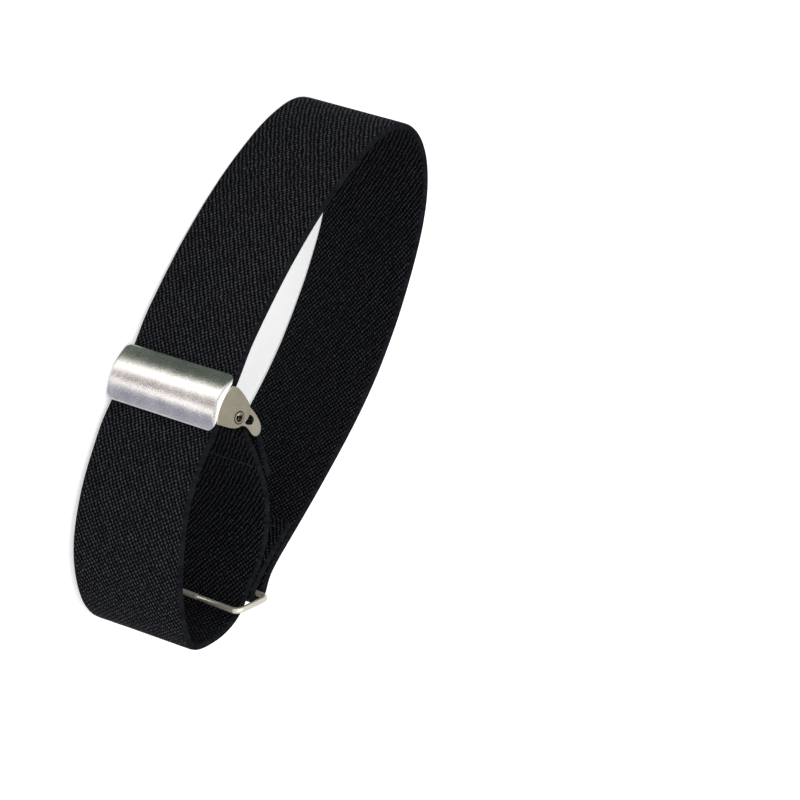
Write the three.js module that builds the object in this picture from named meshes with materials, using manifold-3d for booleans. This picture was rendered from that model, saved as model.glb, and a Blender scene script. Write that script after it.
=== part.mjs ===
// A shirt sleeve holder: one elastic strap, a clamp that adjusts it and a wire ring that closes the loop.
// It lies on its side as it would on a table: +Z is the strap's width, the clamp is at the front (-Y),
// and the ring end is towards +X. Millimetres.
import * as THREE from 'three';
import { mergeVertices } from 'three/addons/utils/BufferGeometryUtils.js';
import Module from 'manifold-3d';

// Driving sizes of the strap
const STRAP_WIDTH = 30;
const STRAP_THICKNESS = 1.4;
const RIM_ROUNDING = 0.4;
const SAMPLE_STEP = 2.6;
const EYE_GAP = 0.32;
const EYE_STEPS = 7;

// Driving sizes of the wire ring
const WIRE_DIAMETER = 1.25;
const WIRE_SIDES = 10;
const RING_INNER_LENGTH = STRAP_WIDTH + 2.4;
const RING_CORNER_RADIUS = 1.7;
const RING_CORNER_STEPS = 5;
const RING_JOINT_GAP = 0.25;
const RING_JOINT_HEIGHT = 22.8;

// Driving sizes of the clamp
const SHEET = 0.5;
const CLAMP_WIDTH = STRAP_WIDTH + 2;
const COVER_RISE = 2.1;
const COVER_CORNER_RADIUS = 2.2;
const COVER_CORNER_STEPS = 4;
const COVER_STEPS = 12;
const FRAME_INSET = 0.15;
const EAR_HOLE_RADIUS = 1.4;
const BOSS_RADIUS = 1.15;
const BOSS_BORE_RADIUS = 0.9;
const BOSS_PROUD = 0.1;
const CHEEK_SHEET = 0.4;
const CHEEK_GAP = 0.2;
const BAR_RADIUS = 0.55;
const BAR_SIDES = 12;
const HOLE_SIDES = 20;
const TOOTH_PITCH = 2.2;
const TOOTH_DEPTH = 0.7;
const NOTCH_RADIUS = 0.92;

// How far a cutting body reaches past what it cuts, and how near points are one point
const CUT_MARGIN = 1;
const MERGE_DISTANCE = 1e-4;

// Middle of the whole thing's box in the plan below, so that the origin is under its middle
const PLAN_MIDDLE = { x: 2.64, y: 22.97 };

// Plan of the main parts, seen from above, before it is centred
const COVER_EDGE_FAR = { x: 4.8, y: 1.1 };
const COVER_EDGE_NEAR = { x: 16.8, y: -0.6 };
const PIVOT = { x: 12.6, y: 5.2 };
const BAR = { x: 14.6, y: 11.6 };
const RING_INSIDE = { x: 50.3, y: 18.7 };
const RING_OUTSIDE = { x: 46.1, y: 26.3 };

// The strap's middle line from its cut end at the ring, round the far end, through the clamp, round the
// near end, through the ring and up to the clamp's bar, where its other end is turned back.
// x and y: the upper edge; shift_x and shift_y: how far the lower edge stands from it; lift: the lower
// edge's height; gather: how much narrower the strap is there, where the bar pulls it together.
const STRAP_COLUMNS = ['x', 'y', 'shift_x', 'shift_y', 'lift', 'gather'];
const RING_END = [
  [30.6, 29.7, 0.3, 1.1, 1.55, 0],
  [34.8, 28.0, 0.2, 0.8, 1.60, 0],
  [38.9, 26.45, 0.1, 0.4, 1.65, 0],
  [42.4, 25.4, 0.0, 0.1, 1.65, 0],
];
const STRAP_TO_BAR = [
  [42.4, 27.6, 0.0, 0.2, 1.65, 0],
  [38.8, 28.5, 0.1, 0.5, 1.60, 0],
  [33.7, 30.5, 0.3, 1.0, 1.45, 0],
  [28.3, 32.7, 0.4, 1.4, 1.28, 0],
  [22.9, 34.8, 0.4, 1.7, 1.12, 0],
  [17.4, 36.8, 0.4, 1.9, 0.98, 0],
  [11.9, 38.7, 0.4, 2.1, 0.86, 0],
  [6.4, 40.4, 0.3, 2.2, 0.76, 0],
  [1.0, 41.8, 0.2, 2.3, 0.66, 0],
  [-4.4, 42.9, 0.1, 2.4, 0.56, 0],
  [-9.8, 43.6, 0.0, 2.5, 0.47, 0],
  [-15.0, 44.1, 0.0, 2.6, 0.38, 0],
  [-20.2, 44.3, 0.0, 2.8, 0.30, 0],
  [-25.5, 44.3, 0.0, 2.9, 0.22, 0],
  [-30.6, 44.1, 0.0, 3.0, 0.15, 0],
  [-35.6, 43.6, -0.1, 2.8, 0.09, 0],
  [-40.6, 42.6, -0.3, 2.4, 0.05, 0],
  [-45.3, 40.9, -0.4, 1.9, 0.02, 0],
  [-49.8, 38.2, -0.6, 1.4, 0.0, 0],
  [-53.0, 34.4, -0.8, 1.0, 0.0, 0],
  [-54.0, 30.2, -1.0, 0.7, 0.0, 0],
  [-52.8, 26.4, -0.7, 0.6, 0.0, 0],
  [-50.1, 23.2, -0.2, 0.4, 0.0, 0],
  [-46.1, 20.3, -0.1, 0.1, 0.0, 0],
  [-40.2, 16.9, 0.0, 0.0, 0.04, 0],
  [-34.3, 13.9, 0.0, 0.0, 0.12, 0],
  [-28.5, 11.4, 0.0, 0.0, 0.22, 0],
  [-22.9, 9.3, 0.0, 0.0, 0.34, 0],
  [-17.4, 7.45, 0.0, 0.0, 0.47, 0],
  [-11.9, 5.85, 0.0, 0.0, 0.61, 0],
  [-6.4, 4.4, 0.0, 0.0, 0.75, 0],
  [-1.1, 3.2, 0.0, 0.0, 0.88, 0],
  [4.8, 2.52, 0.0, 0.0, 0.98, 0],
  [10.8, 1.65, 0.0, 0.0, 1.00, 0],
  [16.8, 0.85, 0.0, 0.0, 1.02, 0],
  [21.7, -0.3, 0.0, 0.2, 1.08, 0],
  [26.7, -0.75, 0.0, 0.4, 1.15, 0],
  [31.8, -0.7, 0.0, 0.2, 1.24, 0],
  [37.2, 0.2, -0.2, -0.45, 1.34, 0],
  [42.9, 1.8, -0.4, -1.25, 1.46, 0],
  [48.0, 3.6, -0.6, -1.75, 1.56, 0],
  [52.3, 5.85, -0.4, -1.9, 1.62, 0],
  [56.0, 8.3, -0.1, -1.5, 1.65, 0],
  [58.5, 10.6, 0.2, -0.9, 1.65, 0],
  [59.55, 12.1, 0.75, 0.6, 1.65, 0],
  [59.0, 14.2, 1.3, 1.0, 1.65, 0],
  [57.4, 16.9, 1.3, 1.0, 1.65, 0],
  [55.4, 19.4, 0.8, 0.7, 1.65, 0],
  [52.6, 21.5, 0.4, 0.4, 1.65, 0],
  [49.9, 22.5, 0.1, 0.2, 1.65, 0],
  [47.0, 22.85, 0.0, 0.0, 1.65, 0],
  [43.9, 23.15, 0.0, 0.0, 1.62, 0],
  [40.8, 23.9, 0.0, 0.0, 1.60, 0],
  [35.1, 23.8, 0.0, 0.0, 1.50, 0],
  [30.0, 22.5, 0.0, 0.0, 1.40, 0.1],
  [25.7, 20.4, 0.0, 0.0, 1.35, 0.4],
  [22.1, 17.45, 0.0, 0.0, 1.40, 0.7],
  [18.9, 14.5, 0.0, 0.0, 1.50, 1.0],
];
const BAR_END = [
  [15.2, 13.95, 0.0, 0.0, 1.55, 1.1],
  [17.95, 16.55, 0.0, 0.0, 1.55, 1.1],
  [20.5, 18.65, 0.0, 0.0, 1.45, 0.9],
  [22.5, 20.05, 0.0, 0.0, 1.40, 0.7],
];
// The eyes in which the strap turns round the ring's outside and round the bar: angles in plan, in degrees
const RING_EYE = { from: -102, to: 84, lift: 1.65, gather: 0 };
const BAR_EYE = { from: -44, to: -226, lift: 1.55, gather: 1.1 };

// Outlines of the clamp's sheet parts in the same plan
const EAR_OUTLINE = [
  [6.9, 0.65], [7.0, 2.6], [9.5, 7.0], [10.5, 7.65], [11.7, 7.8],
  [13.1, 7.3], [14.35, 6.1], [14.95, 4.4], [15.05, -0.5],
];
const EAR_FRONT = [[12.9, -1.1], [10.8, -1.0], [8.8, -0.5]];
const CHEEK_OUTLINE = [
  [11.2, 3.9], [12.6, 3.4], [13.9, 4.2], [14.2, 6.0], [14.0, 8.6], [15.3, 11.4], [15.2, 12.5], [14.4, 13.1],
  [13.3, 12.9], [11.75, 11.4], [9.9, 7.6], [10.1, 5.6],
];
const CHEEK_WINDOW = [[11.5, 8.3], [13.3, 8.0], [13.3, 10.0], [12.1, 10.2]];
const LEVER_WEB_LINE = [[12.2, 2.6], [11.2, 4.6], [10.5, 6.3], [10.2, 7.8], [11.6, 10.8]];

const wasm = await Module();
wasm.setup();

// Finish of each sub-part
const FINISHES = {
  elastic_band: { color: 0x121317, roughness: 0.9, metalness: 0.0 },
  cover_plate: { color: 0xb9b6b4, roughness: 0.38, metalness: 1.0 },
  clamp_frame: { color: 0xb5af9f, roughness: 0.34, metalness: 1.0 },
  clamp_lever: { color: 0xaea893, roughness: 0.36, metalness: 1.0 },
  wire_ring: { color: 0xc4c0b8, roughness: 0.2, metalness: 1.0 },
};

// Places in the plan, moved so that the part's origin is under its middle
function centred(x, y) {
  return new THREE.Vector2(x - PLAN_MIDDLE.x, y - PLAN_MIDDLE.y);
}

function outline(points) {
  return points.map(([x, y]) => centred(x, y));
}

// A flat-sided prism over an outline, between two heights
function prism(points, low, high, holes = []) {
  const shape = new THREE.Shape(points);
  for (const hole of holes) {
    shape.holes.push(new THREE.Path(hole));
  }
  const geometry = new THREE.ExtrudeGeometry(shape, { depth: high - low, bevelEnabled: false });
  geometry.translate(0, 0, low);
  return geometry;
}

function circle(centre, radius, sides = HOLE_SIDES) {
  const points = [];
  for (let i = 0; i < sides; i += 1) {
    const angle = (2 * Math.PI * i) / sides;
    points.push(new THREE.Vector2(centre.x + radius * Math.cos(angle), centre.y + radius * Math.sin(angle)));
  }
  return points;
}

// A rectangle round the origin with rounded corners
function roundedCorners(halfLength, halfHeight, radius) {
  const points = [];
  const corners = [[1, 1], [-1, 1], [-1, -1], [1, -1]];
  corners.forEach(([sideX, sideY], quarter) => {
    for (let i = 0; i <= COVER_CORNER_STEPS; i += 1) {
      const angle = (Math.PI / 2) * (quarter + i / COVER_CORNER_STEPS);
      points.push(new THREE.Vector2(
        sideX * (halfLength - radius) + radius * Math.cos(angle),
        sideY * (halfHeight - radius) + radius * Math.sin(angle),
      ));
    }
  });
  return points;
}

function toManifold(geometry) {
  const plain = new THREE.BufferGeometry();
  plain.setAttribute('position', geometry.getAttribute('position').clone());
  if (geometry.index) {
    plain.setIndex(geometry.index.clone());
  }
  const merged = mergeVertices(plain, MERGE_DISTANCE);
  const vertProperties = new Float32Array(merged.getAttribute('position').array);
  const triVerts = new Uint32Array(merged.index.array);
  return new wasm.Manifold(new wasm.Mesh({ numProp: 3, vertProperties, triVerts }));
}

function fromManifold(solid) {
  const mesh = solid.getMesh();
  const geometry = new THREE.BufferGeometry();
  geometry.setAttribute('position', new THREE.BufferAttribute(new Float32Array(mesh.vertProperties), 3));
  geometry.setIndex(Array.from(mesh.triVerts));
  geometry.computeVertexNormals();
  return geometry;
}

function join(geometries) {
  return geometries.map(toManifold).reduce((whole, piece) => whole.add(piece));
}

// A closed body from equal rings of points, with both ends capped by fans round their middles
function skin(rings) {
  const sides = rings[0].length;
  const positions = rings.flat().flatMap((point) => [point.x, point.y, point.z]);
  const faces = [];
  for (let i = 0; i + 1 < rings.length; i += 1) {
    for (let j = 0; j < sides; j += 1) {
      const a = i * sides + j;
      const b = i * sides + ((j + 1) % sides);
      faces.push(a, b, b + sides, a, b + sides, a + sides);
    }
  }
  const capped = [[0, 1], [rings.length - 1, -1]];
  for (const [index, turn] of capped) {
    const middle = new THREE.Vector3();
    rings[index].forEach((point) => middle.addScaledVector(point, 1 / sides));
    const centre = positions.length / 3;
    positions.push(middle.x, middle.y, middle.z);
    for (let j = 0; j < sides; j += 1) {
      const a = index * sides + j;
      const b = index * sides + ((j + 1) % sides);
      faces.push(centre, turn > 0 ? b : a, turn > 0 ? a : b);
    }
  }
  const geometry = new THREE.BufferGeometry();
  geometry.setAttribute('position', new THREE.BufferAttribute(new Float32Array(positions), 3));
  geometry.setIndex(faces);
  geometry.computeVertexNormals();
  return geometry;
}

// Points of an arc in plan, angles in degrees
function arc(centre, radius, from, to, steps) {
  const points = [];
  for (let i = 0; i <= steps; i += 1) {
    const angle = THREE.MathUtils.degToRad(from + ((to - from) * i) / steps);
    points.push([centre.x + radius * Math.cos(angle), centre.y + radius * Math.sin(angle)]);
  }
  return points;
}

// Stations of the whole strap: upper and lower edge of its middle line
function strapStations() {
  const ringEyeRadius = WIRE_DIAMETER / 2 + EYE_GAP + STRAP_THICKNESS / 2;
  const ringEye = arc(RING_OUTSIDE, ringEyeRadius, RING_EYE.from, RING_EYE.to, EYE_STEPS);
  const barEyeRadius = BAR_RADIUS + EYE_GAP + STRAP_THICKNESS / 2;
  const barEye = arc(BAR, barEyeRadius, BAR_EYE.from, BAR_EYE.to, EYE_STEPS);
  const level = (points, { lift, gather }) => points.map(([x, y]) => [x, y, 0, 0, lift, gather]);
  const ringRows = [...RING_END, ...level(ringEye, RING_EYE)];
  const barRows = [...level(barEye, BAR_EYE), ...BAR_END];
  const rows = [...ringRows, ...STRAP_TO_BAR, ...barRows];
  const column = Object.fromEntries(STRAP_COLUMNS.map((name, index) => [name, index]));
  const upper = rows.map((row) => {
    const place = centred(row[column.x], row[column.y]);
    return new THREE.Vector3(place.x, place.y, row[column.lift] + STRAP_WIDTH - row[column.gather]);
  });
  const lower = rows.map((row) => {
    const place = centred(row[column.x] + row[column.shift_x], row[column.y] + row[column.shift_y]);
    return new THREE.Vector3(place.x, place.y, row[column.lift]);
  });
  const upperCurve = new THREE.CatmullRomCurve3(upper, false, 'centripetal');
  const lowerCurve = new THREE.CatmullRomCurve3(lower, false, 'centripetal');
  const stations = [];
  for (let i = 0; i + 1 < rows.length; i += 1) {
    const count = Math.max(1, Math.round(upper[i].distanceTo(upper[i + 1]) / SAMPLE_STEP));
    for (let k = 0; k < count; k += 1) {
      const t = (i + k / count) / (rows.length - 1);
      stations.push({ upper: upperCurve.getPoint(t), lower: lowerCurve.getPoint(t) });
    }
  }
  stations.push({ upper: upper[upper.length - 1], lower: lower[lower.length - 1] });
  return stations;
}

// The strap as one closed ribbon, its rims slightly rounded
function strapGeometry() {
  const stations = strapStations();
  const half = STRAP_THICKNESS / 2;
  const section = [
    { across: -half, up: RIM_ROUNDING },
    { across: -half, up: STRAP_WIDTH - RIM_ROUNDING },
    { across: -half / 2, up: STRAP_WIDTH },
    { across: half / 2, up: STRAP_WIDTH },
    { across: half, up: STRAP_WIDTH - RIM_ROUNDING },
    { across: half, up: RIM_ROUNDING },
    { across: half / 2, up: 0 },
    { across: -half / 2, up: 0 },
  ];
  const rings = stations.map((station, index) => {
    const before = stations[Math.max(0, index - 1)];
    const after = stations[Math.min(stations.length - 1, index + 1)];
    return section.map(({ across, up }) => {
      const share = up / STRAP_WIDTH;
      const along = new THREE.Vector3().lerpVectors(after.lower, after.upper, share)
        .sub(new THREE.Vector3().lerpVectors(before.lower, before.upper, share));
      const normal = new THREE.Vector3(along.y, -along.x, 0).normalize();
      const place = new THREE.Vector3().lerpVectors(station.lower, station.upper, share);
      return place.addScaledVector(normal, across);
    });
  });
  return skin(rings);
}

// The wire ring: a rounded rectangle of round wire. Its cut ends meet on the inside long side.
function ringGeometry() {
  const radius = WIRE_DIAMETER / 2;
  const inside = centred(RING_INSIDE.x, RING_INSIDE.y);
  const outside = centred(RING_OUTSIDE.x, RING_OUTSIDE.y);
  const reach = inside.distanceTo(outside);
  const across = new THREE.Vector3(outside.x - inside.x, outside.y - inside.y, 0).normalize();
  const up = new THREE.Vector3(0, 0, 1);
  const low = radius;
  const high = radius + RING_INNER_LENGTH + WIRE_DIAMETER;
  const corners = [
    { depth: RING_CORNER_RADIUS, height: high - RING_CORNER_RADIUS, from: 180, to: 90 },
    { depth: reach - RING_CORNER_RADIUS, height: high - RING_CORNER_RADIUS, from: 90, to: 0 },
    { depth: reach - RING_CORNER_RADIUS, height: low + RING_CORNER_RADIUS, from: 0, to: -90 },
    { depth: RING_CORNER_RADIUS, height: low + RING_CORNER_RADIUS, from: -90, to: -180 },
  ];
  const path = [{ depth: 0, height: RING_JOINT_HEIGHT + RING_JOINT_GAP / 2, angle: 90 }];
  for (const corner of corners) {
    for (let i = 0; i <= RING_CORNER_STEPS; i += 1) {
      const turn = corner.from + ((corner.to - corner.from) * i) / RING_CORNER_STEPS;
      const radians = THREE.MathUtils.degToRad(turn);
      path.push({
        depth: corner.depth + RING_CORNER_RADIUS * Math.cos(radians),
        height: corner.height + RING_CORNER_RADIUS * Math.sin(radians),
        angle: turn - 90,
      });
    }
  }
  path.push({ depth: 0, height: RING_JOINT_HEIGHT - RING_JOINT_GAP / 2, angle: -270 });
  const side = new THREE.Vector3().crossVectors(across, up);
  const rings = path.map(({ depth, height, angle }) => {
    const heading = THREE.MathUtils.degToRad(angle);
    const tangent = across.clone().multiplyScalar(Math.cos(heading)).addScaledVector(up, Math.sin(heading));
    const outward = new THREE.Vector3().crossVectors(side, tangent);
    const centre = new THREE.Vector3(inside.x, inside.y, height).addScaledVector(across, depth);
    const points = [];
    for (let i = 0; i < WIRE_SIDES; i += 1) {
      const turn = (-2 * Math.PI * i) / WIRE_SIDES;
      const sideways = centre.clone().addScaledVector(side, radius * Math.cos(turn));
      points.push(sideways.addScaledVector(outward, radius * Math.sin(turn)));
    }
    return points;
  });
  return skin(rings);
}

// The clamp's own plan axes: along the strap and out towards the front
function clampAxes() {
  const far = centred(COVER_EDGE_FAR.x, COVER_EDGE_FAR.y);
  const near = centred(COVER_EDGE_NEAR.x, COVER_EDGE_NEAR.y);
  const along = near.clone().sub(far).normalize();
  const middle = far.clone().add(near).multiplyScalar(0.5);
  return { middle, along, front: new THREE.Vector2(along.y, -along.x), chord: far.distanceTo(near) };
}

// The bulged cover plate in front of the strap
function coverGeometry() {
  const { middle, along, front, chord } = clampAxes();
  const radius = (chord * chord) / (8 * COVER_RISE) + COVER_RISE / 2;
  const opening = Math.asin(chord / 2 / radius);
  const bow = (size) => {
    const points = [];
    for (let i = 0; i <= COVER_STEPS; i += 1) {
      const angle = opening * ((2 * i) / COVER_STEPS - 1);
      const out = size * Math.cos(angle) - (radius - COVER_RISE);
      points.push(middle.clone().addScaledVector(along, size * Math.sin(angle)).addScaledVector(front, out));
    }
    return points;
  };
  const sheet = toManifold(prism([...bow(radius), ...bow(radius - SHEET).reverse()], 0, CLAMP_WIDTH));
  const face = roundedCorners(chord / 2, CLAMP_WIDTH / 2, COVER_CORNER_RADIUS);
  const blank = prism(face, -CUT_MARGIN, COVER_RISE + CUT_MARGIN);
  const up = new THREE.Vector3(0, 0, 1);
  blank.applyMatrix4(new THREE.Matrix4().makeBasis(
    new THREE.Vector3(along.x, along.y, 0),
    up,
    new THREE.Vector3(front.x, front.y, 0),
  ));
  blank.translate(middle.x, middle.y, CLAMP_WIDTH / 2);
  return fromManifold(sheet.intersect(toManifold(blank)));
}

// The frame behind the cover: a flat web in front of the strap, and at each end an ear with the pivot's hole,
// whose front edge follows the cover's bow
function frameGeometry() {
  const { front } = clampAxes();
  const low = FRAME_INSET;
  const high = CLAMP_WIDTH - FRAME_INSET;
  const ear = outline([...EAR_OUTLINE, ...EAR_FRONT]);
  const holes = [circle(centred(PIVOT.x, PIVOT.y), EAR_HOLE_RADIUS)];
  const rootFar = ear[0];
  const rootNear = ear[EAR_OUTLINE.length - 1];
  const back = front.clone().multiplyScalar(-SHEET);
  const web = [rootFar, rootNear, rootNear.clone().add(back), rootFar.clone().add(back)];
  return fromManifold(join([
    prism(web, low, high),
    prism(ear, low, low + SHEET, holes),
    prism(ear, high - SHEET, high, holes),
  ]));
}

// A sheet of even thickness that follows a line in plan
function sheetOutline(points, thickness) {
  const line = outline(points);
  const left = [];
  const right = [];
  line.forEach((point, index) => {
    const before = line[Math.max(0, index - 1)];
    const after = line[Math.min(line.length - 1, index + 1)];
    const along = after.clone().sub(before).normalize();
    const normal = new THREE.Vector2(-along.y, along.x).multiplyScalar(thickness / 2);
    left.push(point.clone().add(normal));
    right.push(point.clone().sub(normal));
  });
  return [...left, ...right.reverse()];
}

// The lever: two cheeks on hollow bosses, a toothed web between them and the bar that holds the strap's end
function leverGeometry() {
  const low = FRAME_INSET + SHEET + CHEEK_GAP;
  const high = CLAMP_WIDTH - low;
  const cheek = outline(CHEEK_OUTLINE);
  const windows = [outline(CHEEK_WINDOW)];
  const pivot = centred(PIVOT.x, PIVOT.y);
  const bossOut = FRAME_INSET - BOSS_PROUD;
  const bore = circle(pivot, BOSS_BORE_RADIUS);
  let lever = join([
    prism(cheek, low, low + CHEEK_SHEET, windows),
    prism(cheek, high - CHEEK_SHEET, high, windows),
    prism(sheetOutline(LEVER_WEB_LINE, SHEET), low, high),
    prism(circle(centred(BAR.x, BAR.y), BAR_RADIUS, BAR_SIDES), low, high),
    prism(circle(pivot, BOSS_RADIUS), bossOut, low + CHEEK_SHEET),
    prism(circle(pivot, BOSS_RADIUS), high - CHEEK_SHEET, CLAMP_WIDTH - bossOut),
  ]);
  lever = lever.subtract(toManifold(prism(bore, -CUT_MARGIN, low + CHEEK_SHEET + CUT_MARGIN)));
  lever = lever.subtract(toManifold(prism(bore, high - CHEEK_SHEET - CUT_MARGIN, CLAMP_WIDTH + CUT_MARGIN)));
  const biting = centred(LEVER_WEB_LINE[0][0], LEVER_WEB_LINE[0][1]);
  const count = Math.floor((high - low - 2 * TOOTH_PITCH) / TOOTH_PITCH);
  const start = (low + high) / 2 - ((count - 1) * TOOTH_PITCH) / 2;
  for (let i = 0; i < count; i += 1) {
    const height = start + i * TOOTH_PITCH;
    const notch = new THREE.ConeGeometry(NOTCH_RADIUS, 2 * TOOTH_DEPTH, 4, 1);
    notch.rotateY(Math.PI / 4);
    notch.translate(biting.x, biting.y - SHEET, height);
    lever = lever.subtract(toManifold(notch));
  }
  return fromManifold(lever);
}

function named(name, geometry) {
  const mesh = new THREE.Mesh(geometry, new THREE.MeshStandardMaterial(FINISHES[name]));
  mesh.name = name;
  return mesh;
}

const holder = new THREE.Group();
holder.add(named('elastic_band', strapGeometry()));
holder.add(named('cover_plate', coverGeometry()));
holder.add(named('clamp_frame', frameGeometry()));
holder.add(named('clamp_lever', leverGeometry()));
holder.add(named('wire_ring', ringGeometry()));

export default holder;
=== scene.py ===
"""A shirt sleeve holder lying on its side: a woven elastic strap, a plated clamp and a wire ring."""
import math
import bmesh
import bpy
from mathutils import Matrix, Vector


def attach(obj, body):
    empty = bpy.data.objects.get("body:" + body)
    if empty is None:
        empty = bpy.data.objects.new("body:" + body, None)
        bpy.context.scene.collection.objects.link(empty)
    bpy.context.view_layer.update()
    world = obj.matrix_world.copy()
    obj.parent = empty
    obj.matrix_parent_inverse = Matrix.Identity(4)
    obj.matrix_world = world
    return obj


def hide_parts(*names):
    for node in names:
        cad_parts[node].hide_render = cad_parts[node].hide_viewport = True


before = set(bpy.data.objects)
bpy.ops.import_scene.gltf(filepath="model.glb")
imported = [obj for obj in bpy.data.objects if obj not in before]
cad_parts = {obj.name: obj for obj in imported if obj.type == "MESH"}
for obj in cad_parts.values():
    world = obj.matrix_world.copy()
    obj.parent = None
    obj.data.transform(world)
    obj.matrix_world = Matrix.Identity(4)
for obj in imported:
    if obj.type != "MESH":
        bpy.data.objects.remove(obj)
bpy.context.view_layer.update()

# Lengths are in millimetres and angles in degrees, unless a name or a comment says otherwise
MM = 0.001

# The camera: its place, how far it looks down, how far it is rolled, and its focal length in pixels
CAMERA_PLACE = (-2.64, -485.47, 462.81)
CAMERA_LOOKS_DOWN = 40.0
CAMERA_ROLL = 106.82
FOCAL_PIXELS = 3200.6
PICTURE_PIXELS = 800
SENSOR_WIDTH = 36.0
CAMERA_SEES_FROM_METRES = 0.01
CAMERA_SEES_TO_METRES = 20

# The floor and the two soft lights: name, place in metres and watts
FLOOR_SIZE_METRES = 6
LIGHT_SIZE_METRES = 1.2
LIGHTS = [
    ("key", (-0.5, -0.6, 1.1), 7.0),
    ("fill", (0.5, -0.5, 1.1), 5.0),
]

# The strap
STRAP_WIDTH = 30.0
STRAP_THICKNESS = 1.4
STRAP_RIM_ROUNDING = 0.38
STRAP_RIM_ANGLE = 60
STRAP_SMOOTH_ANGLE = 50
STATION_STEP = 1.7
ACROSS_CUTS = 9
CUT_END_SLACK = 1.0001
EYE_GAP = 0.32
EYE_STEPS = 7

# The wire ring
WIRE_RADIUS = 0.625
WIRE_SIDES = 20
RING_INNER_LENGTH = STRAP_WIDTH + 2.4
RING_CORNER_RADIUS = 1.7
RING_CORNER_STEPS = 8
RING_JOINT_GAP = 0.25
RING_JOINT_HEIGHT = 22.8
RING_EDGE_ROUNDING = 0.09
RING_EDGE_ANGLE = 60
RING_SMOOTH_ANGLE = 40

# The clamp
SHEET = 0.5
CLAMP_WIDTH = STRAP_WIDTH + 2.0
CLAMP_SMOOTH_ANGLE = 35
COVER_RISE = 2.1
COVER_CORNER_RADIUS = 2.2
COVER_CORNER_CUTS = 8
COVER_COLUMNS = 28
COVER_LIP_DEPTH = 1.2
COVER_LIP_TURN = 0.42
COVER_LIP_CUTS = 5
COVER_EDGE_ROUNDING = 0.16
COVER_EDGE_ANGLE = 50
FRAME_INSET = 0.15
EAR_HOLE_RADIUS = 1.4
EAR_HOLE_SIDES = 40
EAR_LINE_STEPS = 5
EAR_BOW_STEPS = 4
EAR_FOLD_RADIUS = 0.42
EAR_FOLD_CUTS = 4
EAR_EDGE_ROUNDING = 0.1
LEVER_LINE_STEPS = 4
LEVER_EDGE_ROUNDING = 0.08
SHEET_EDGE_ANGLE = 40
BOSS_RADIUS = 1.15
BOSS_BORE_RADIUS = 0.9
BOSS_PROUD = 0.1
CHEEK_SHEET = 0.4
CHEEK_GAP = 0.2
BAR_RADIUS = 0.55
ROD_SIDES = 32

# How near points are one point, how near a point is to a cut or a fold to lie on it, how far a cutting
# body reaches past what it cuts, and the decimals to which a place in metres is rounded
ONE_POINT = 1e-3
ON_CUT = 2e-4
ON_FOLD = 0.02
CUT_MARGIN = 1.0
PLACE_DIGITS = 7

# Places in a plan seen from above, before it is moved so that the origin is under its middle
PLAN_MIDDLE = Vector((2.64, 22.97))
COVER_EDGE_FAR = (4.8, 1.1)
COVER_EDGE_NEAR = (16.8, -0.6)
PIVOT = (12.6, 5.2)
BAR = (14.6, 11.6)
RING_INSIDE = (50.3, 18.7)
RING_OUTSIDE = (46.1, 26.3)

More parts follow.
